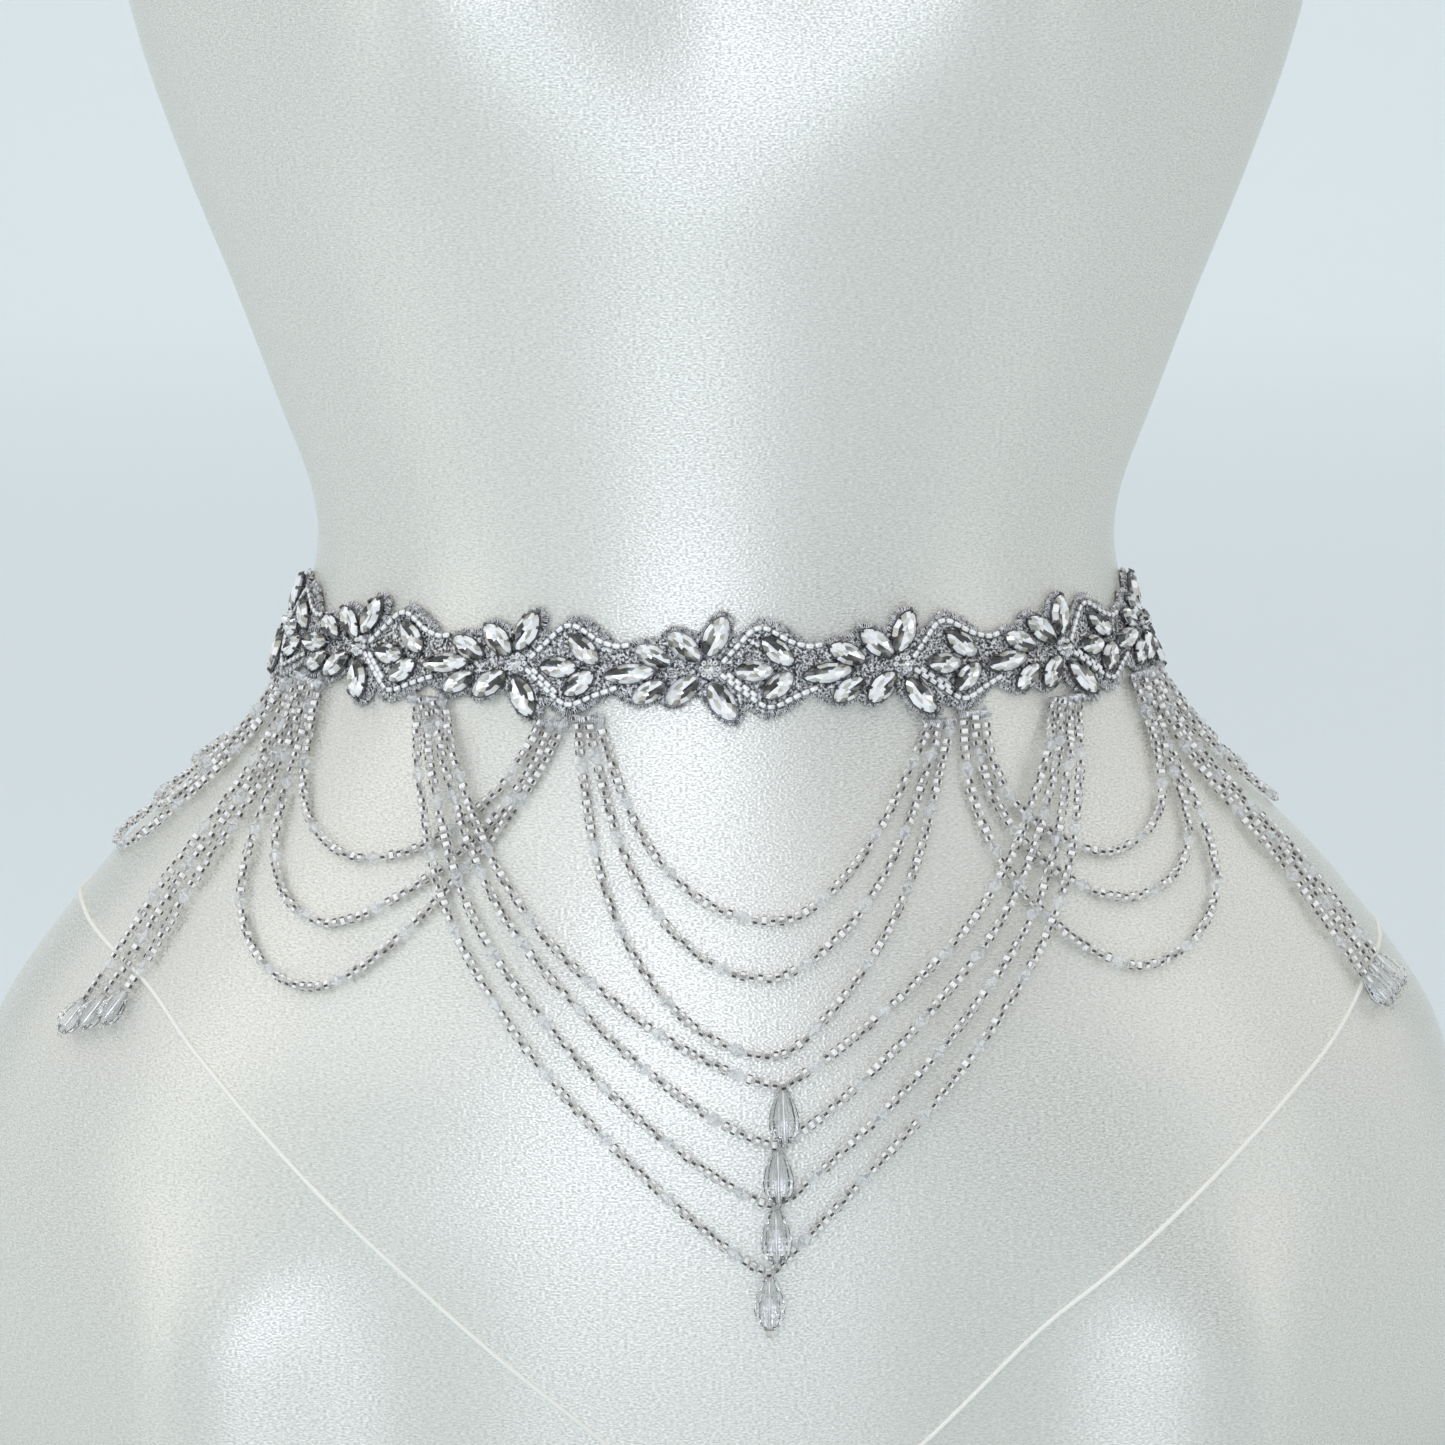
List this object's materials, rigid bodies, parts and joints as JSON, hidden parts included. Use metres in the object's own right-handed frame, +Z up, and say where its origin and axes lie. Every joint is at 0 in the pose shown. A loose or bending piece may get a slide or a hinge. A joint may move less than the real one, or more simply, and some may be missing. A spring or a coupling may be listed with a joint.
{
  "type": "bridal sash on dress form",
  "caption": "Beaded bridal sash with crystal applique belt, draped bead swags, glass drops and side tassels, worn on a limbless satin dress form with a flat base.",
  "frame": {"origin": "middle of the dress form's flat base", "axes": "+Z up, the sash's front faces -Y, +X is the viewer's right as seen from the front"},
  "size_m": [0.4078, 0.2674, 0.68],
  "materials": {
    "form_satin": "warm white satin jersey over a smooth form",
    "applique": "silver metallic embroidery with clear stones in claw settings",
    "ribbon_satin": "ivory satin ribbon",
    "lined_beads": "silver-lined clear seed beads",
    "cut_glass": "clear faceted glass"
  },
  "bodies": {
    "root": {"dress_form": "form_satin", "applique_belt": "applique", "ribbon_left": "ribbon_satin", "ribbon_right": "ribbon_satin", "center_swags": "lined_beads", "left_swags": "lined_beads", "right_swags": "lined_beads", "point_swags": "lined_beads", "back_left_swags": "lined_beads", "back_right_swags": "lined_beads", "left_tassel": "lined_beads", "right_tassel": "lined_beads", "point_drop_1": "cut_glass", "point_drop_2": "cut_glass", "point_drop_3": "cut_glass", "point_drop_4": "cut_glass", "left_tassel_drop_1": "cut_glass", "left_tassel_drop_2": "cut_glass", "left_tassel_drop_3": "cut_glass", "right_tassel_drop_1": "cut_glass", "right_tassel_drop_2": "cut_glass", "right_tassel_drop_3": "cut_glass"}
  },
  "joints": []
}
